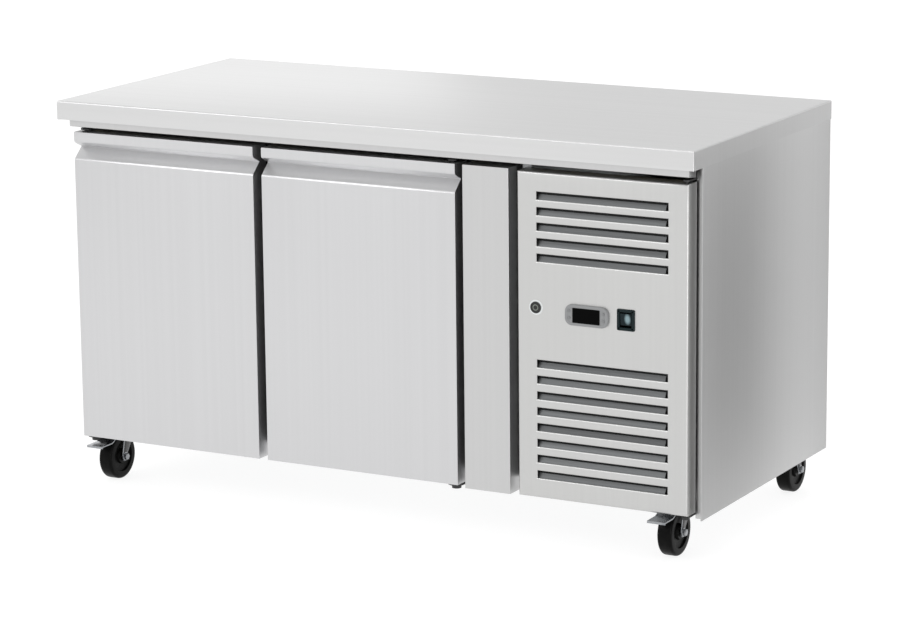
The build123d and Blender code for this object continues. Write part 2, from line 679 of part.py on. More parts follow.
worktop_core = build_worktop()
build_shell()
build_insulation(worktop_core)
build_frame()
build_door("left", door_left_x, False)
build_door("right", door_right_x, True)
build_hinges()
build_panel()
build_lock()
build_controller()
build_switch()
left_shelf = shelf_span(door_left_x, False)
right_shelf = shelf_span(door_right_x, True)
build_shelf("shelf_left", left_shelf)
build_shelf("shelf_right", right_shelf)
build_shelf_supports(left_shelf, right_shelf)
build_evaporator()
build_condensing_unit()
build_gland()
nodes["castor_plates"] = [build_castor(place, *at) for place, at in castor_places.items()]
for place in ("front_left", "front_right"):
    build_pedal(place, *castor_places[place][:2])
build_screws()

os.makedirs("parts", exist_ok=True)
for name, shape in nodes.items():
    if isinstance(shape, list):
        shape = Compound(shape)
    export_step(shape, f"parts/{name}.step")
print(len(nodes), "nodes")
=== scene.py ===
import bpy
import json
from math import pi, radians
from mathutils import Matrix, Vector


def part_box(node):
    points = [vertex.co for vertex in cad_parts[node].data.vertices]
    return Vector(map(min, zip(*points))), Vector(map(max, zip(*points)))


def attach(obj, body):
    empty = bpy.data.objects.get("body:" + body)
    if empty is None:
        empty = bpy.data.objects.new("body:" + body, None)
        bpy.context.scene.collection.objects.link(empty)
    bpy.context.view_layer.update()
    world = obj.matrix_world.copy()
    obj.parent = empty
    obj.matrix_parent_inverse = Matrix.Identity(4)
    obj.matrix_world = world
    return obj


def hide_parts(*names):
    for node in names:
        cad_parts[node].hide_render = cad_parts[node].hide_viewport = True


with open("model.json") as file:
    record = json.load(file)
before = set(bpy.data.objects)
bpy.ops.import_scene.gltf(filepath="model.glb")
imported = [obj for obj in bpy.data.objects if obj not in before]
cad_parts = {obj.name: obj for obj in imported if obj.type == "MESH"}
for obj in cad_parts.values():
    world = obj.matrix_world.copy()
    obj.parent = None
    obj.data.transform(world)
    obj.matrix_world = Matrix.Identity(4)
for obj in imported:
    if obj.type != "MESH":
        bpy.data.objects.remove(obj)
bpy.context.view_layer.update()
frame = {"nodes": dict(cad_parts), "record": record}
nodes = frame["nodes"]
mm = 0.001
print("frame loaded:", len(nodes), "nodes")


# small helpers

def hexToLinear(code):
    values = [int(code[i:i + 2], 16) / 255 for i in (1, 3, 5)]
    return tuple(v / 12.92 if v <= 0.04045 else ((v + 0.055) / 1.055) ** 2.4 for v in values) + (1.0,)


def addNode(tree, kind, settings, links):
    node = tree.nodes.new(kind)
    for key, value in settings.items():
        if key in node.inputs:
            node.inputs[key].default_value = value
        else:
            setattr(node, key, value)
    for key, source in links.items():
        tree.links.new(source, node.inputs[key])
    return node


def newMaterial(name, values):
    # a Principled surface with its plain values on the shader's own sockets
    material = bpy.data.materials.new(name)
    material.use_nodes = True
    tree = material.node_tree
    shader = tree.nodes["Principled BSDF"]
    shader.inputs["Base Color"].default_value = hexToLinear(values["colour"])
    shader.inputs["Metallic"].default_value = values.get("metallic", 0)
    shader.inputs["Roughness"].default_value = values["roughness"]
    for socket, key in (("Coat Weight", "coat"), ("Coat Roughness", "coatRoughness"),
                        ("Emission Strength", "glow"), ("Sheen Weight", "sheen"),
                        ("Specular IOR Level", "specular")):
        if key in values:
            shader.inputs[socket].default_value = values[key]
    place = addNode(tree, "ShaderNodeTexCoord", {}, {}).outputs["Object"]
    return material, tree, shader, place


def stretched(tree, place, size, detail=3.0, rough=0.5):
    # noise whose grains have this size along x, y and z, in millimetres
    scale = tuple(1000 / s for s in size)
    mapped = addNode(tree, "ShaderNodeMapping", {"Scale": scale}, {"Vector": place})
    noise = addNode(tree, "ShaderNodeTexNoise", {"Scale": 1.0, "Detail": detail, "Roughness": rough},
                    {"Vector": mapped.outputs[0]})
    return noise.outputs["Fac"]


def spread(tree, source, low, high):
    # squeezes a 0 to 1 pattern into a narrow range of numbers
    values = {"From Min": 0.25, "From Max": 0.75, "To Min": low, "To Max": high}
    return addNode(tree, "ShaderNodeMapRange", values, {"Value": source}).outputs[0]


def tinted(tree, shader, source, dark, light):
    # base colour that wanders between two hex values
    ramp = addNode(tree, "ShaderNodeValToRGB", {}, {"Fac": source})
    ramp.color_ramp.elements[0].position = 0.3
    ramp.color_ramp.elements[1].position = 0.7
    ramp.color_ramp.elements[0].color = hexToLinear(dark)
    ramp.color_ramp.elements[1].color = hexToLinear(light)
    tree.links.new(ramp.outputs["Color"], shader.inputs["Base Color"])


def bumped(tree, shader, source, height):
    # height in millimetres
    bump = addNode(tree, "ShaderNodeBump", {"Strength": 1.0, "Distance": height * mm}, {"Height": source})
    tree.links.new(bump.outputs["Normal"], shader.inputs["Normal"])


# finishes, each named for the stuff and how its surface was made

def brushedStainless(name, colour, grain, dark, light, rough):
    # 304 stainless ground with a fine belt: satin, with hair lines all one way
    material, tree, shader, place = newMaterial(name, {"colour": colour, "metallic": 1, "roughness": rough})
    lines = stretched(tree, place, grain, 4.0, 0.6)
    broad = stretched(tree, place, tuple(g * 9 for g in grain), 2.0)
    tinted(tree, shader, broad, dark, light)
    tree.links.new(spread(tree, lines, rough - 0.01, rough + 0.01), shader.inputs["Roughness"])
    bumped(tree, shader, lines, 0.0005)
    return material


def galvanisedSheet(name, colour, dark, light):
    # hot dipped zinc: patches of crystal a few millimetres wide
    material, tree, shader, place = newMaterial(name, {"colour": colour, "metallic": 1, "roughness": 0.45})
    mapped = addNode(tree, "ShaderNodeMapping", {"Scale": (90, 90, 90)}, {"Vector": place})
    cells = addNode(tree, "ShaderNodeTexVoronoi", {"Scale": 1.0}, {"Vector": mapped.outputs[0]})
    value = addNode(tree, "ShaderNodeSeparateColor", {}, {"Color": cells.outputs["Color"]}).outputs[0]
    tinted(tree, shader, value, dark, light)
    tree.links.new(spread(tree, value, 0.43, 0.48), shader.inputs["Roughness"])
    return material


def mouldedPlastic(name, colour, rough, **more):
    # injection moulded part with a faint spark-eroded grain
    material, tree, shader, place = newMaterial(name, {"colour": colour, "roughness": rough, **more})
    texture = stretched(tree, place, (0.6, 0.6, 0.6), 2.0)
    tree.links.new(spread(tree, texture, rough - 0.05, rough + 0.07), shader.inputs["Roughness"])
    bumped(tree, shader, texture, 0.01)
    return material


def zincPlate(name, dark, light, rough):
    # bright metal, a little cloudy
    material, tree, shader, place = newMaterial(name, {"colour": light, "metallic": 1, "roughness": rough})
    clouds = stretched(tree, place, (14, 14, 14), 4.0)
    tinted(tree, shader, clouds, dark, light)
    tree.links.new(spread(tree, clouds, rough - 0.08, rough + 0.1), shader.inputs["Roughness"])
    return material


def tyreRubber(name, colour, rough):
    # hard black rubber with a little dust on it
    material, tree, shader, place = newMaterial(name, {"colour": colour, "roughness": rough, "specular": 0.08})
    dust = stretched(tree, place, (9, 9, 9), 5.0)
    tinted(tree, shader, dust, colour, "#0C0C0B")
    bumped(tree, shader, stretched(tree, place, (0.8, 0.8, 0.8), 2.0), 0.02)
    return material


def steelPaint(name, colour, rough):
    # black stoving enamel with a light orange peel
    material, tree, shader, place = newMaterial(name, {"colour": colour, "roughness": rough, "coat": 0.1,
                                                       "coatRoughness": 0.2})
    bumped(tree, shader, stretched(tree, place, (2.5, 2.5, 2.5), 1.0), 0.03)
    return material


def rigidFoam(name):
    # poured polyurethane foam, fine closed cells
    material, tree, shader, place = newMaterial(name, {"colour": "#D9CB9E", "roughness": 0.9})
    cells = stretched(tree, place, (1.5, 1.5, 1.5), 3.0)
    tinted(tree, shader, cells, "#CDBE8F", "#E2D6AD")
    bumped(tree, shader, cells, 0.2)
    return material


def softSeal(name):
    # grey PVC gasket, waxy and slightly uneven
    material, tree, shader, place = newMaterial(name, {"colour": "#6B6C6E", "roughness": 0.55, "sheen": 0.2})
    bumped(tree, shader, stretched(tree, place, (4, 4, 4), 2.0), 0.03)
    return material


def copperTube(name):
    # drawn copper, gone dull and brown in places
    material, tree, shader, place = newMaterial(name, {"colour": "#B8734B", "metallic": 1, "roughness": 0.32})
    tarnish = stretched(tree, place, (12, 12, 30), 4.0)
    tinted(tree, shader, tarnish, "#9A5B3A", "#C98A60")
    return material


def smokedWindow(name):
    # tinted acrylic over a dark display
    material, tree, shader, place = newMaterial(name, {"colour": "#030303", "roughness": 0.3, "specular": 0.04})
    bumped(tree, shader, stretched(tree, place, (25, 25, 25), 1.0), 0.004)
    return material


def switchLens(name, centre, reach):
    # dark green-blue translucent polycarbonate, with a pale tall spot painted into its colour as a highlight
    material, tree, shader, place = newMaterial(name, {"colour": "#06171C", "roughness": 0.3, "specular": 0.2})
    scale = Vector(1 / (r * mm) for r in reach)
    shift = Vector(-c * mm * k for c, k in zip(centre, scale))
    mapped = addNode(tree, "ShaderNodeMapping", {"Location": shift, "Scale": scale}, {"Vector": place})
    spot = addNode(tree, "ShaderNodeTexGradient", {"gradient_type": "SPHERICAL"}, {"Vector": mapped.outputs[0]})
    # the pale end of the ramp is the painted highlight
    tinted(tree, shader, spot.outputs["Fac"], "#07191E", "#7F959B")
    return material


# where the painted highlight sits on the switch lens, and how far it reaches
paintedHighlightSpot = {"centre": (601, -335, 498), "reach": (11, 400, 18)}   # millimetres, in the shared frame
upGrain = (1.0, 1.0, 220)      # grinding lines that run up and down, drawn wide enough to show
alongGrain = (240, 1.2, 1.2)   # grinding lines that run left to right
finishes = {
    # one brushed steel in four copies; their grain and roughness are real, but their greys were set part by part
    # to how bright each part looks, so the steps between them are painted light
    "stainless_top": brushedStainless("brushedStainlessTop", "#D2D2D2", alongGrain, "#D1D1D1", "#D4D4D4", 0.36),
    "stainless": brushedStainless("brushedStainlessBody", "#C5C5C5", upGrain, "#C4C4C4", "#C6C6C6", 0.38),
    "stainless_door": brushedStainless("brushedStainlessDoor", "#CDCDCE", upGrain, "#CCCCCD", "#CECECF", 0.38),
    "stainless_panel": brushedStainless("brushedStainlessPanel", "#C6C6C5", upGrain, "#C5C5C4", "#C7C7C6", 0.4),
    "liner_steel": brushedStainless("brushedStainlessLiner", "#C9CBCD", upGrain, "#C2C4C6", "#D0D2D4", 0.3),
    "galvanised": galvanisedSheet("galvanisedSheet", "#B3B5B6", "#AFB1B2", "#B8BABB"),
    "foam": rigidFoam("polyurethaneFoam"),
    "black_plastic": mouldedPlastic("blackFramePlastic", "#1B1B1B", 0.5),
    "white_plastic": mouldedPlastic("trayPlastic", "#DADDDD", 0.45),
    "gasket": softSeal("sealPvc"),
    "rubber": mouldedPlastic("mountRubber", "#101010", 0.75),
    "tyre": tyreRubber("tyreRubber", "#030303", 0.36),
    "zinc": zincPlate("zincPlate", "#85888C", "#A3A5A7", 0.24),
    "zinc_dark": steelPaint("bracketPaint", "#1E1E1F", 0.42),
    "black_paint": steelPaint("blackEnamel", "#0B0B0C", 0.3),
    "motor_black": steelPaint("motorEnamel", "#131314", 0.4),
    "fins": galvanisedSheet("finAluminium", "#C9CCCE", "#C0C3C5", "#D3D6D8"),
    # dark fin aluminium; on the louvre blades its dark grey is painted shade
    "fins_dark": brushedStainless("finAluminiumDustyAndPaintedShade", "#6A6B6C", alongGrain, "#5F6061", "#767879", 0.5),
    "copper": copperTube("copperTube"),
    "wire_coat": zincPlate("shelfWire", "#C6C9CB", "#DFE1E2", 0.24),
    "fan_plastic": mouldedPlastic("fanPlastic", "#161616", 0.5),
    "fan_alu": zincPlate("fanAluminium", "#B3B6B8", "#C9CBCC", 0.4),
    "lock_black": steelPaint("lockBlackChrome", "#040504", 0.3),
    "lock_metal": zincPlate("lockNickel", "#6E736C", "#8C918A", 0.35),
    "controller_grey": mouldedPlastic("controllerAbs", "#868788", 0.42),
    "display_black": smokedWindow("displayWindow"),
    "key_grey": mouldedPlastic("keyRubber", "#7C7D7E", 0.55),
    "switch_black": mouldedPlastic("switchNylon", "#081A1D", 0.45, specular=0.2),
    "switch_lens": switchLens("switchPolycarbonate", paintedHighlightSpot["centre"], paintedHighlightSpot["reach"]),
}
slotOf = {part["node"]: part["material_slot"] for part in frame["record"]["subparts"]}
for name, piece in nodes.items():
    piece.data.materials.clear()
    piece.data.materials.append(finishes[slotOf[name]])
print("finishes made:", len(finishes))


# modelling by operators

def deselectAll():
    if bpy.context.object and bpy.context.object.mode != "OBJECT":
        bpy.ops.object.mode_set(mode="OBJECT")
    for item in bpy.context.selected_objects:
        item.select_set(False)


def makeActive(piece):
    deselectAll()
    piece.select_set(True)
    bpy.context.view_layer.objects.active = piece


def startCube(name, low, high):
    # a cube from corner to corner, in millimetres
    deselectAll()
    middle = [(a + b) / 2 * mm for a, b in zip(low, high)]
    size = [(b - a) * mm for a, b in zip(low, high)]
    bpy.ops.mesh.primitive_cube_add(size=1, location=middle)
    piece = bpy.context.object
    piece.name = name
    piece.scale = size
    bpy.ops.object.transform_apply(location=True, rotation=True, scale=True)
    return piece


def startCylinder(name, start, axis, length, radius, sides=48):
    # a round bar from a point along x, y or z, in millimetres
    deselectAll()
    along = {"x": Vector((1, 0, 0)), "y": Vector((0, 1, 0)), "z": Vector((0, 0, 1))}[axis]
    turn = {"x": (0, pi / 2, 0), "y": (-pi / 2, 0, 0), "z": (0, 0, 0)}[axis]
    middle = (Vector(start) + along * length / 2) * mm
    bpy.ops.mesh.primitive_cone_add(vertices=sides, radius1=radius * mm, depth=length * mm, location=middle,
                                    radius2=radius * mm, rotation=turn)
    piece = bpy.context.object
    piece.name = name
    bpy.ops.object.transform_apply(location=True, rotation=True, scale=True)
    return piece


def choose(piece, kind, test):
    # edit mode with just the vertices, edges or faces that pass the test, given in millimetres
    makeActive(piece)
    bpy.ops.object.mode_set(mode="EDIT")
    bpy.ops.mesh.select_mode(type=kind)
    bpy.ops.mesh.select_all(action="DESELECT")
    bpy.ops.object.mode_set(mode="OBJECT")
    mesh = piece.data
    if kind == "VERT":
        for vertex in mesh.vertices:
            vertex.select = test(vertex.co * 1000)
    elif kind == "EDGE":
        for edge in mesh.edges:
            a, b = (mesh.vertices[i].co * 1000 for i in edge.vertices)
            edge.select = test(a, b)
    else:
        for face in mesh.polygons:
            face.select = test(face.center * 1000, face.normal)
    bpy.ops.object.mode_set(mode="EDIT")


def bisectAt(piece, point, normal):
    # a new ring of edges right round, where a plane cuts the mesh
    choose(piece, "FACE", lambda c, n: True)
    bpy.ops.mesh.bisect(plane_co=[v * mm for v in point], plane_no=normal)
    bpy.ops.object.mode_set(mode="OBJECT")


def bevelChosen(width, segments=3):
    bpy.ops.mesh.bevel(offset=width * mm, offset_type="OFFSET", segments=segments, profile=0.5,
                       clamp_overlap=True)
    bpy.ops.object.mode_set(mode="OBJECT")


def near(value, target, slack=0.05):
    return abs(value - target) < slack


def useModifier(piece, kind, **values):
    makeActive(piece)
    modifier = piece.modifiers.new(kind.lower(), kind)
    for key, value in values.items():
        setattr(modifier, key, value)
    bpy.ops.object.modifier_apply(modifier=modifier.name)


def finishPiece(piece, slot, body, *replaced, angle=35):
    # smooth shading, finish, body and the CAD nodes that the piece stands for
    makeActive(piece)
    bpy.ops.object.shade_smooth_by_angle(angle=radians(angle))
    piece.data.materials.clear()
    piece.data.materials.append(finishes[slot])
    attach(piece, body)
    if replaced:
        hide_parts(*replaced)
    return piece


def joinPieces(name, pieces):
    makeActive(pieces[0])
    for piece in pieces[1:]:
        piece.select_set(True)
    bpy.ops.object.join()
    whole = bpy.context.object
    whole.name = name
    return whole


def limits(node):
    # a CAD node's box in millimetres
    low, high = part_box(node)
    return low * 1000, high * 1000


# worktop

worktop = {"edgeRound": 3.2, "cornerRound": 1.2, "hem": 18, "skin": 1.2}


def makeWorktop():
    low, high = limits("worktop_skin")
    piece = startCube("worktopSheet", low, high)
    choose(piece, "EDGE", lambda a, b: near(a.z, high.z) and near(b.z, high.z))
    bevelChosen(worktop["edgeRound"], 5)
    choose(piece, "EDGE", lambda a, b: abs(a.z - b.z) > 20)
    bevelChosen(worktop["cornerRound"], 3)
    choose(piece, "FACE", lambda c, n: n.z < -0.9)
    bpy.ops.mesh.inset(thickness=worktop["hem"] * mm, use_even_offset=True)
    bpy.ops.mesh.delete(type="FACE")
    bpy.ops.object.mode_set(mode="OBJECT")
    # the right end face goes to the darker body stainless, a shaded copy of the top's steel: painted shade that
    # matches it to the side panel
    choose(piece, "FACE", lambda c, n: n.x > 0.99)
    bpy.ops.mesh.separate(type="SELECTED")
    bpy.ops.object.mode_set(mode="OBJECT")
    end = next(item for item in bpy.context.selected_objects if item != piece)
    end.name = "worktopEnd"
    useModifier(piece, "SOLIDIFY", thickness=worktop["skin"] * mm, offset=-1)
    useModifier(end, "SOLIDIFY", thickness=worktop["skin"] * mm, offset=-1)
    finishPiece(piece, "stainless_top", "root", "worktop_skin")
    finishPiece(end, "stainless", "root")


makeWorktop()
print("worktop done")


# doors

door = {"bandBottom": 766, "bandCurl": 761, "curlDepth": 1.5, "bandBelow": 756.5, "belowDepth": 9,
        "grooveCorner": 748, "grooveLip": 724, "grooveDepth": 27, "bandRound": 2.2,
        "lipRound": 3.5, "cornerRound": 1.0, "edgeRound": 1.6}


def makeDoorSkin(side):
    low, high = limits(f"door_{side}_skin")
    piece = startCube(f"doorSkin{side.title()}", low, high)
    for height in ("bandBottom", "bandCurl", "bandBelow", "grooveCorner", "grooveLip"):
        bisectAt(piece, (0, 0, door[height]), (0, 0, 1))
    for height, depth in (("bandCurl", "curlDepth"), ("bandBelow", "belowDepth")):
        choose(piece, "VERT", lambda v: near(v.y, low.y) and near(v.z, door[height]))
        bpy.ops.transform.translate(value=(0, door[depth] * mm, 0))
        bpy.ops.object.mode_set(mode="OBJECT")
    choose(piece, "VERT", lambda v: near(v.y, low.y) and near(v.z, door["grooveCorner"]))
    bpy.ops.transform.translate(value=(0, door["grooveDepth"] * mm, 0))
    bpy.ops.object.mode_set(mode="OBJECT")
    front = lambda v: v.y < low.y + 0.1
    curl = lambda v: near(v.y, low.y + door["curlDepth"]) and near(v.z, door["bandCurl"])
    choose(piece, "EDGE", lambda a, b: curl(a) and curl(b))
    bevelChosen(door["bandRound"], 5)
    onLip = lambda v: front(v) and near(v.z, door["grooveLip"])
    choose(piece, "EDGE", lambda a, b: onLip(a) and onLip(b))
    bevelChosen(door["lipRound"], 4)
    inCorner = lambda v: near(v.y, low.y + door["grooveDepth"]) and near(v.z, door["grooveCorner"])
    choose(piece, "EDGE", lambda a, b: inCorner(a) and inCorner(b))
    bevelChosen(door["cornerRound"], 3)
    sideEdge = lambda a, b: near(a.x, b.x) and (near(a.x, low.x) or near(a.x, high.x))
    ahead = lambda v: v.y < low.y + door["grooveDepth"] + 3
    choose(piece, "EDGE", lambda a, b: (sideEdge(a, b) and ahead(a) and ahead(b)
                                        and (a - b).length > 0.01
                                        and not (near(a.z, b.z) and (near(a.z, low.z) or near(a.z, high.z))))
           or (near(a.z, b.z) and front(a) and front(b) and (near(a.z, low.z) or near(a.z, high.z))))
    bevelChosen(door["edgeRound"], 3)
    finishPiece(piece, "stainless_door", f"door_{side}", f"door_{side}_skin")


for side in ("left", "right"):
    makeDoorSkin(side)
print("doors done")


# front rail under the worktop: an upright lip, closed below by a sloping face

rail = {"lipHeight": 16, "faceBottom": 789.5, "lipRound": 1.5}


def makeRail():
    low, high = limits("top_front_rail")
    low.z = rail["faceBottom"]
    piece = startCube("frontRail", low, high)
    choose(piece, "VERT", lambda v: near(v.y, low.y) and near(v.z, low.z))
    bpy.ops.transform.translate(value=(0, 0, (high.z - rail["lipHeight"] - low.z) * mm))
    below = lambda v: near(v.y, low.y) and v.z < high.z - 1
    choose(piece, "EDGE", lambda a, b: below(a) and below(b) and near(a.z, b.z))
    bevelChosen(rail["lipRound"], 3)
    finishPiece(piece, "stainless", "root", "top_front_rail")


makeRail()
print("rail done")


# machine panel: folded tray with pressed louvre slots, and the blades behind them

panel = {"edgeRound": 4.5, "skin": 1.2, "slotLeft": 394, "slotRight": 691, "slotHeight": 22,
         "topGroup": (605, 5, 31.7), "lowGroup": (154.5, 8, 33.1),   # lowest centre, count, pitch
         "pressedRim": 2.6, "pressedDepth": 1.9, "slotWall": 2.5, "bladeFront": 5, "bladeLean": 7,
         "bladeLeft": 1.5, "bladeRight": 11, "bladeDrop": 9.5,
         "screenAt": 14, "screenLeft": 12, "screenRight": 8, "screenOver": 6}


def slotHeights(group):
    first, count, pitch = panel[group]
    return [first + pitch * index for index in range(count)]


def makeMachinePanel():
    low, high = limits("machine_panel")
    piece = startCube("machinePanelSheet", low, high)
    onFront = lambda v: near(v.y, low.y)
    choose(piece, "EDGE", lambda a, b: onFront(a) and onFront(b))
    bevelChosen(panel["edgeRound"], 4)
    for x in (panel["slotLeft"], panel["slotRight"]):
        bisectAt(piece, (x, 0, 0), (1, 0, 0))
    half = panel["slotHeight"] / 2
    centres = slotHeights("topGroup") + slotHeights("lowGroup")
    for centre in centres:
        bisectAt(piece, (0, 0, centre - half), (0, 0, 1))
        bisectAt(piece, (0, 0, centre + half), (0, 0, 1))
    middle = (panel["slotLeft"] + panel["slotRight"]) / 2
    inSlot = lambda c, n: (n.y < -0.9 and near(c.x, middle, 20)
                           and any(near(c.z, z, half / 2) for z in centres))
    choose(piece, "FACE", inSlot)
    bpy.ops.mesh.inset(thickness=panel["pressedRim"] * mm, depth=-panel["pressedDepth"] * mm,
                       use_even_offset=True)
    bpy.ops.mesh.extrude_region_move(TRANSFORM_OT_translate={"value": (0, panel["slotWall"] * mm, 0)})
    bpy.ops.mesh.delete(type="FACE")
    bpy.ops.object.mode_set(mode="OBJECT")
    choose(piece, "FACE", lambda c, n: n.y > 0.9 and near(c.y, high.y))
    bpy.ops.mesh.delete(type="FACE")
    bpy.ops.object.mode_set(mode="OBJECT")
    useModifier(piece, "SOLIDIFY", thickness=panel["skin"] * mm, offset=-1)
    finishPiece(piece, "stainless_panel", "panel", "machine_panel", angle=40)

    blades = []
    front = low.y + panel["bladeFront"]
    left = panel["slotLeft"] + panel["bladeLeft"]
    right = panel["slotRight"] - panel["bladeRight"]
    for centre in centres:
        blade = startCube("louvreBlade", (left, front, centre - half - 1),
                          (right, front + 1, centre + half - panel["bladeDrop"]))
        choose(blade, "VERT", lambda v: v.z > centre)
        bpy.ops.transform.translate(value=(0, panel["bladeLean"] * mm, 0))
        bpy.ops.object.mode_set(mode="OBJECT")
        blades.append(blade)
    # the blades take the dark fin finish as painted shade for the inside of the slots
    finishPiece(joinPieces("louvreBlades", blades), "fins_dark", "panel")

    # a black sheet behind each group of slots, painted shade that keeps the gaps round the blades black
    screens = []
    front = low.y + panel["screenAt"]
    left = panel["slotLeft"] - panel["screenLeft"]
    right = panel["slotRight"] + panel["screenRight"]
    over = half + panel["screenOver"]
    for group in ("topGroup", "lowGroup"):
        centres = slotHeights(group)
        screens.append(startCube("slotShadeSheet", (left, front, centres[0] - over),
                                 (right, front + 1, centres[-1] + over)))
    finishPiece(joinPieces("slotShadeSheets", screens), "rubber", "panel")


makeMachinePanel()
print("machine panel done")


# controls on the panel

control = {"keyhole": 4.4, "keyholeFront": 2.9, "washerRadius": 15.5, "washerThick": 0.7, "lobeRound": 15,
           "faceRound": 2.4, "bezelRim": 3.4, "bezelStep": 0.7, "backSide": 13, "backEnd": 7.5,
           "windowRim": 1.2, "windowFront": 0.3, "windowStep": 0.35, "windowRound": 1.2}
switch = {"cornerRound": 3, "faceRound": 1.2, "rim": 5, "step": 2, "wellSide": 5.2, "wellEnd": 4.2,
          "wellFront": 1.8, "wellSheet": 1.2}


def makeControls():
    low, high = limits("lock_barrel")
    middle = (low + high) / 2
    front = limits("machine_panel")[0].y
    washer = startCylinder("lockWasher", (middle.x, front - control["washerThick"], middle.z), "y",
                           control["washerThick"], control["washerRadius"], 64)
    choose(washer, "EDGE", lambda a, b: near(a.y, b.y) and a.y < front - 0.3)
    bevelChosen(0.5, 2)
    finishPiece(washer, "white_plastic", "panel")

    # the keyhole is a thin black disc on the lock's face: painted shade standing in for the hole
    keyhole = startCylinder("lockKeyhole", (middle.x, front - control["keyholeFront"], middle.z), "y", 0.5,
                            control["keyhole"], 32)
    finishPiece(keyhole, "lock_black", "lock")

    low, high = limits("controller_case")
    bezel = startCube("controllerBezel", low, (high.x, front, high.z))
    choose(bezel, "EDGE", lambda a, b: abs(a.y - b.y) > 3)
    bevelChosen(control["lobeRound"], 10)
    choose(bezel, "EDGE", lambda a, b: near(a.y, low.y) and near(b.y, low.y))
    bevelChosen(control["faceRound"], 4)
    choose(bezel, "FACE", lambda c, n: n.y < -0.95 and near(c.y, low.y))
    bpy.ops.mesh.inset(thickness=control["bezelRim"] * mm, use_even_offset=True)
    step = control["bezelStep"]
    bpy.ops.mesh.inset(thickness=step * mm, depth=-step * mm, use_even_offset=True)
    bpy.ops.object.mode_set(mode="OBJECT")
    back = startCube("controllerBack", (low.x + control["backSide"], front, low.z + control["backEnd"]),
                     (high.x - control["backSide"], high.y, high.z - control["backEnd"]))
    choose(back, "EDGE", lambda a, b: True)
    bevelChosen(0.8, 2)
    finishPiece(joinPieces("controllerCase", [bezel, back]), "controller_grey", "panel", "controller_case")

    low, high = limits("controller_display")
    rim = control["windowRim"]
    window = startCube("controllerWindow", (low.x - rim, low.y - control["windowFront"], low.z - rim),
                       (high.x + rim, low.y + 1, high.z + rim))
    choose(window, "FACE", lambda c, n: n.y < -0.95)
    bpy.ops.mesh.inset(thickness=rim * mm, use_even_offset=True)
    bpy.ops.mesh.inset(thickness=0.3 * mm, depth=-control["windowStep"] * mm, use_even_offset=True)
    bpy.ops.object.mode_set(mode="OBJECT")
    choose(window, "EDGE", lambda a, b: abs(a.y - b.y) > 0.5)
    bevelChosen(control["windowRound"], 3)
    finishPiece(window, "display_black", "panel", "controller_display")

    low, high = limits("switch_frame")
    plate = startCube("switchBezel", low, (high.x, front, high.z))
    choose(plate, "EDGE", lambda a, b: abs(a.y - b.y) > 1)
    bevelChosen(switch["cornerRound"], 5)
    choose(plate, "EDGE", lambda a, b: near(a.y, low.y) and near(b.y, low.y))
    bevelChosen(switch["faceRound"], 3)
    choose(plate, "FACE", lambda c, n: n.y < -0.95 and near(c.y, low.y))
    bpy.ops.mesh.inset(thickness=switch["rim"] * mm, use_even_offset=True)
    bpy.ops.mesh.inset(thickness=0.4 * mm, depth=-switch["step"] * mm, use_even_offset=True)
    bpy.ops.mesh.delete(type="FACE")
    bpy.ops.object.mode_set(mode="OBJECT")
    side, end = switch["wellSide"], switch["wellEnd"]
    well = startCube("switchWell", (low.x + side, low.y + switch["wellFront"], low.z + end),
                     (high.x - side, high.y, high.z - end))
    choose(well, "FACE", lambda c, n: n.y < -0.9)
    bpy.ops.mesh.delete(type="FACE")
    bpy.ops.object.mode_set(mode="OBJECT")
    useModifier(well, "SOLIDIFY", thickness=switch["wellSheet"] * mm, offset=-1)
    finishPiece(joinPieces("switchFrame", [plate, well]), "switch_black", "panel", "switch_frame")


makeControls()
print("controls done")


# right side panel: one sheet with a hemmed front edge and a jamb set back behind it

sidePanel = {"sheet": 1.2, "hem": 2.4, "hemFront": 0.4, "hemDepth": 12, "jambFront": -290, "jambLeft": 730,
             "edgeRound": 0.5}


def makeSidePanel():
    low, high = limits("side_panel_right")
    wall = startCube("sidePanelRight", (high.x - sidePanel["sheet"], low.y, low.z), high)
    hem = startCube("sideHem", (high.x - sidePanel["hem"], low.y + sidePanel["hemFront"], low.z),
                    (high.x - sidePanel["sheet"], low.y + sidePanel["hemDepth"], high.z))
    jamb = startCube("sideJamb", (sidePanel["jambLeft"], sidePanel["jambFront"], low.z),
                     (high.x - sidePanel["sheet"], sidePanel["jambFront"] + sidePanel["sheet"], high.z))
    for part in (wall, hem, jamb):
        choose(part, "EDGE", lambda a, b: abs(a.z - b.z) > 100)
        bevelChosen(sidePanel["edgeRound"], 2)
    finishPiece(joinPieces("sidePanelRight", [wall, hem, jamb]), "stainless", "root", "side_panel_right")


makeSidePanel()
print("side panel done")


# castors: wheel, and fork with washers, nuts, ball race and, at the front, the brake pedal's pin

castor = {"tyreRound": 6, "trail": 30, "clearance": 2, "legThick": 3, "legTop": 24, "legEnd": 9,
          "axleDrop": 4, "axleRadius": 4.6, "footDrop": 14, "footWidth": 0.55,
          "bridgeLow": 112, "bridgeHigh": 118, "bridgeRound": 2.2,
          "blackPlateHigh": 116, "blackPlateThick": 0.8, "blackPlateTrim": 2.6,
          "pinInset": 9, "pinAhead": 18, "pinHeight": 106, "pinRadius": 2}
faceSteps = ((10, 0), (1.5, -4), (15, -1), (2, 5))   # inset and rise of each ring on a wheel's face
nutStack = ((1.4, 9.5, 40), (6, 7.5, 6))   # thickness, radius and sides of the washer and the nut
swivelDiscs = (("crown", 112, 6, 27), ("race", 118, 3, 25), ("ring", 121, 5.8, 21))   # base, height, radius
castorPlaces = ("front_left", "front_right", "rear_left", "rear_right")


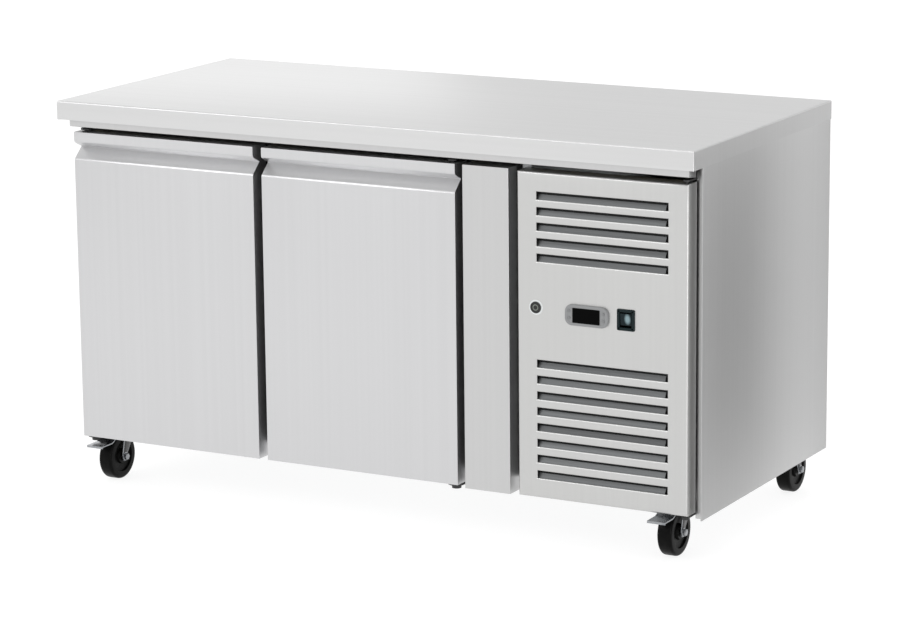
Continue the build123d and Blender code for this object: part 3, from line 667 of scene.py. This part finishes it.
def makeWheel(place):
    low, high = limits(f"castor_wheel_{place}")
    middle = (low + high) / 2
    radius = (high.z - low.z) / 2
    wheel = startCylinder(f"wheel_{place}", (low.x, middle.y, middle.z), "x", high.x - low.x, radius, 96)
    choose(wheel, "EDGE", lambda a, b: near(a.x, b.x) and (near(a.x, low.x) or near(a.x, high.x)))
    bevelChosen(castor["tyreRound"], 5)
    central = lambda c: near(c.y, middle.y, 1) and near(c.z, middle.z, 1)
    for face in (-1, 1):
        choose(wheel, "FACE", lambda c, n: n.x * face > 0.95 and central(c))
        for inset, rise in faceSteps:
            bpy.ops.mesh.inset(thickness=inset * mm, depth=rise * mm)
        bpy.ops.object.mode_set(mode="OBJECT")
    finishPiece(wheel, "tyre", f"castor_wheel_{place}", f"castor_wheel_{place}")


def makeLeg(x, top, axle, way, thick, trim=0):
    # a tapered plate; trim narrows it all round, for the thin black plate let into its outer face
    half = castor["legEnd"] - trim
    leg = startCube("forkLeg", (x - thick / 2, axle.y - half, axle.z + castor["axleDrop"]),
                    (x + thick / 2, axle.y + half, top))
    upper = lambda v: near(v.z, top)
    shift = way * castor["trail"]
    choose(leg, "VERT", lambda v: upper(v) and v.y < axle.y)
    bpy.ops.transform.translate(value=(0, (castor["legEnd"] - castor["legTop"] - shift) * mm, 0))
    bpy.ops.object.mode_set(mode="OBJECT")
    choose(leg, "VERT", lambda v: near(v.z, top) and near(v.y, axle.y + half))
    bpy.ops.transform.translate(value=(0, (castor["legTop"] - castor["legEnd"] - shift) * mm, 0))
    bpy.ops.object.mode_set(mode="OBJECT")
    choose(leg, "FACE", lambda c, n: n.z < -0.9)
    bpy.ops.mesh.extrude_region_move(TRANSFORM_OT_translate={"value": (0, 0, -castor["footDrop"] * mm)})
    bpy.ops.transform.resize(value=(1, castor["footWidth"], 1), center_override=(0, axle.y * mm, 0))
    bpy.ops.object.mode_set(mode="OBJECT")
    choose(leg, "EDGE", lambda a, b: near(a.x, b.x) and abs(a.z - top) + abs(b.z - top) > 1)
    bevelChosen(thick * 0.3, 2)
    return leg


def makeFork(place):
    node = f"castor_fork_{place}"
    low, high = limits(node)
    wheelLow, wheelHigh = limits(f"castor_wheel_{place}")
    axle = (wheelLow + wheelHigh) / 2
    way = -1 if "front" in place else 1
    swivel = axle.y - way * castor["trail"]
    bottom, top = castor["bridgeLow"], castor["bridgeHigh"]
    thick = castor["legThick"]
    inner = (wheelHigh.x - wheelLow.x) / 2 + castor["clearance"]
    outer = inner + thick
    parts = [makeLeg(axle.x + side * (inner + thick / 2), top, axle, way, thick) for side in (-1, 1)]
    blackPlates = [makeLeg(axle.x + side * outer, castor["blackPlateHigh"], axle, way, castor["blackPlateThick"],
                      castor["blackPlateTrim"]) for side in (-1, 1)]
    finishPiece(joinPieces(f"forkLegBlackPlates_{place}", blackPlates), "black_paint", node)
    bridge = startCube("forkBridge", (axle.x - outer, swivel - castor["legTop"], bottom),
                       (axle.x + outer, swivel + castor["legTop"], top))
    choose(bridge, "EDGE", lambda a, b: near(a.z, top) and near(b.z, top) or abs(a.z - b.z) > 2)
    bevelChosen(castor["bridgeRound"], 3)
    parts.append(bridge)
    for name, base, tall, radius in swivelDiscs:
        disc = startCylinder(name, (axle.x, swivel, base), "z", tall, radius, 64)
        choose(disc, "EDGE", lambda a, b: near(a.z, b.z))
        bevelChosen(0.9, 3)
        parts.append(disc)
    parts.append(startCylinder("axle", (low.x + 1, axle.y, axle.z), "x", high.x - low.x - 2,
                               castor["axleRadius"], 32))
    for side in (-1, 1):
        face = axle.x + side * outer
        for thick, radius, sides in nutStack:
            start = face if side > 0 else face - thick
            disc = startCylinder("nut", (start, axle.y, axle.z), "x", thick, radius, sides)
            choose(disc, "EDGE", lambda a, b: near(a.x, b.x) and abs(a.x - axle.x) > outer + thick / 2)
            bevelChosen(0.8, 2)
            parts.append(disc)
            face += side * thick
    if way < 0:
        inset = castor["pinInset"]
        start = (low.x + inset, swivel - castor["pinAhead"], castor["pinHeight"])
        parts.append(startCylinder("pedalPin", start, "x", high.x - low.x - 2 * inset, castor["pinRadius"], 24))
    finishPiece(joinPieces(f"fork_{place}", parts), "zinc", node, node)


for place in castorPlaces:
    makeWheel(place)
    makeFork(place)
print("castors done")


# door seals: a ring with a bellows fold half way

seal = {"width": 18, "fold": 2.6, "foldHalf": 2.2, "lipRound": 1.2}


def makeSeal(side):
    node = f"door_{side}_gasket"
    low, high = limits(node)
    ring = startCube(f"doorSeal{side.title()}", low, high)
    choose(ring, "FACE", lambda c, n: abs(n.y) > 0.9)
    bpy.ops.mesh.inset(thickness=seal["width"] * mm, use_even_offset=True)
    bpy.ops.mesh.bridge_edge_loops()
    bpy.ops.object.mode_set(mode="OBJECT")
    middle = (low.y + high.y) / 2
    for step in (-seal["foldHalf"], 0, seal["foldHalf"]):
        bisectAt(ring, (0, middle + step, 0), (0, 1, 0))
    choose(ring, "VERT", lambda v: near(v.y, middle))
    bpy.ops.transform.shrink_fatten(value=-seal["fold"] * mm)
    bpy.ops.object.mode_set(mode="OBJECT")
    choose(ring, "EDGE", lambda a, b: near(a.y, b.y) and (near(a.y, low.y) or near(a.y, high.y)))
    bevelChosen(seal["lipRound"], 3)
    finishPiece(ring, "gasket", f"door_{side}", node, angle=50)


for side in ("left", "right"):
    makeSeal(side)
print("seals done")


# chamber liner: one folded box, coved at the back and in the corners, with a drain in the floor

chamber = {"cove": 14, "sheet": 1.0, "skin": 0.9, "drainRadius": 16, "drainAt": (60, 160), "drainRim": 5,
           "drainStep": 0.8}


def makeLiner():
    low, high = limits("inner_liner")
    inner = chamber["sheet"]
    box = startCube("chamberLiner", (low.x + inner, low.y, low.z + inner),
                    (high.x - inner, high.y - inner, high.z - inner))
    choose(box, "FACE", lambda c, n: n.y < -0.9)
    bpy.ops.mesh.delete(type="FACE")
    bpy.ops.object.mode_set(mode="OBJECT")
    choose(box, "EDGE", lambda a, b: abs(a.y - b.y) > 100 or a.y > high.y - 5 and b.y > high.y - 5)
    bevelChosen(chamber["cove"], 6)
    choose(box, "FACE", lambda c, n: True)
    bpy.ops.mesh.normals_make_consistent(inside=True)
    bpy.ops.object.mode_set(mode="OBJECT")
    useModifier(box, "SOLIDIFY", thickness=chamber["skin"] * mm, offset=-1)
    finishPiece(box, "liner_steel", "root", "inner_liner", angle=50)
    x, y = chamber["drainAt"]
    drain = startCylinder("chamberDrain", (x, y, low.z + inner), "z", 1.2, chamber["drainRadius"], 48)
    choose(drain, "FACE", lambda c, n: n.z > 0.9)
    bpy.ops.mesh.inset(thickness=chamber["drainRim"] * mm)
    bpy.ops.mesh.inset(thickness=1.5 * mm, depth=-chamber["drainStep"] * mm)
    bpy.ops.object.mode_set(mode="OBJECT")
    finishPiece(drain, "zinc", "root")


makeLiner()
print("liner done")


# sheet and plate edges that stay as cut get a small break

brokenEdges = {"side_panel_left": 0.4, "base_pan": 0.4, "hinge_brackets": 0.6,
               "brake_pedal_front_left": 0.6, "brake_pedal_front_right": 0.6, "castor_plates": 0.5,
               "lock_plug": 0.4, "switch_rocker": 0.5, "unit_tray": 0.4, "condensate_tray": 0.8, "drip_pan": 0.8,
               "partition_panel": 0.4, "fan_shroud": 0.5, "shelf_supports": 0.3}
for name, width in brokenEdges.items():
    modifier = nodes[name].modifiers.new("edgeBreak", "BEVEL")
    modifier.width = width * mm
    modifier.segments = 2
    modifier.limit_method = "ANGLE"
    modifier.angle_limit = radians(50)
    modifier.use_clamp_overlap = True
    modifier.harden_normals = False
print("edges broken:", len(brokenEdges))


# floor, light and camera

studio = {"floor": "#7C7C7C", "floorGlow": 0.86, "skyStrength": 0.9, "flag": "#E2E2E2", "flagGlow": 0.15,
          "flagPlace": (0.9, 1.4, 1.0), "flagSize": (2.0, 3.6, 1)}
view = {"place": (3.5093, -6.3951, 1.9998), "turn": (77.467, 0.596, 28.518), "lens": 138.4, "sensor": 36}
lamps = (   # name, place, aim, size and power
    ("frontSoftbox", (-2.2, -4.5, 3.0), (0, 0, 0.4), (3.0, 2.5), 22),
    ("topSoftbox", (0.0, 0.5, 4.5), (0, 0, 0.8), (4.0, 3.0), 20),
    ("lipStrip", (-1.7, -2.6, 2.1), (0, -0.34, 0.78), (2.6, 0.25), 13),
    ("sideStrip", (2.9, -1.5, 0.35), (0.74, -0.33, 0.45), (0.6, 0.7), 9),
    ("backSoftbox", (-6.0, 8.0, 2.2), (-0.6, 0, 0.85), (3.0, 2.0), 14),
)


def makeStudio():
    deselectAll()
    bpy.ops.mesh.primitive_plane_add(size=60, location=(0, 0, 0))
    floor = bpy.context.object
    floor.name = "studioFloor"
    values = {"colour": studio["floor"], "roughness": 0.9, "glow": studio["floorGlow"]}
    material, tree, shader, place = newMaterial("studioPaper", values)
    shader.inputs["Emission Color"].default_value = hexToLinear("#FFFFFF")
    tinted(tree, shader, stretched(tree, place, (900, 900, 900), 2.0), "#7A7A7A", "#7E7E7E")
    floor.data.materials.append(material)
    bpy.ops.mesh.primitive_plane_add(size=1, location=studio["flagPlace"], rotation=(0, pi / 2, 0))
    flag = bpy.context.object
    flag.name = "studioFlag"
    flag.scale = studio["flagSize"]
    bpy.ops.object.transform_apply(location=True, rotation=True, scale=True)
    values = {"colour": studio["flag"], "roughness": 0.95, "glow": studio["flagGlow"]}
    material, tree, shader, place = newMaterial("studioFlagCloth", values)
    shader.inputs["Emission Color"].default_value = hexToLinear("#FFFFFF")
    bumped(tree, shader, stretched(tree, place, (3, 3, 3), 2.0), 0.2)
    flag.data.materials.append(material)
    flag.visible_camera = False
    flag.visible_diffuse = False
    flag.visible_shadow = False
    world = bpy.data.worlds.new("studioSky")
    world.use_nodes = True
    sky = world.node_tree.nodes["Background"]
    sky.inputs["Color"].default_value = hexToLinear("#FFFFFF")
    sky.inputs["Strength"].default_value = studio["skyStrength"]
    bpy.context.scene.world = world
    for name, place, aim, size, power in lamps:
        light = bpy.data.lights.new(name, "AREA")
        light.shape = "RECTANGLE"
        light.size, light.size_y = size
        light.energy = power
        lamp = bpy.data.objects.new(name, light)
        lamp.location = place
        lamp.rotation_euler = (Vector(aim) - Vector(place)).to_track_quat("-Z", "Y").to_euler()
        lamp.visible_camera = False
        bpy.context.scene.collection.objects.link(lamp)


makeStudio()

camera = bpy.data.objects.new("studioCamera", bpy.data.cameras.new("studioCamera"))
camera.location = view["place"]
camera.rotation_euler = [radians(v) for v in view["turn"]]
camera.data.lens = view["lens"]
camera.data.sensor_width = view["sensor"]
camera.data.clip_end = 100
bpy.context.scene.collection.objects.link(camera)
bpy.context.scene.camera = camera
bpy.context.scene.view_settings.view_transform = "Standard"
print("studio done")
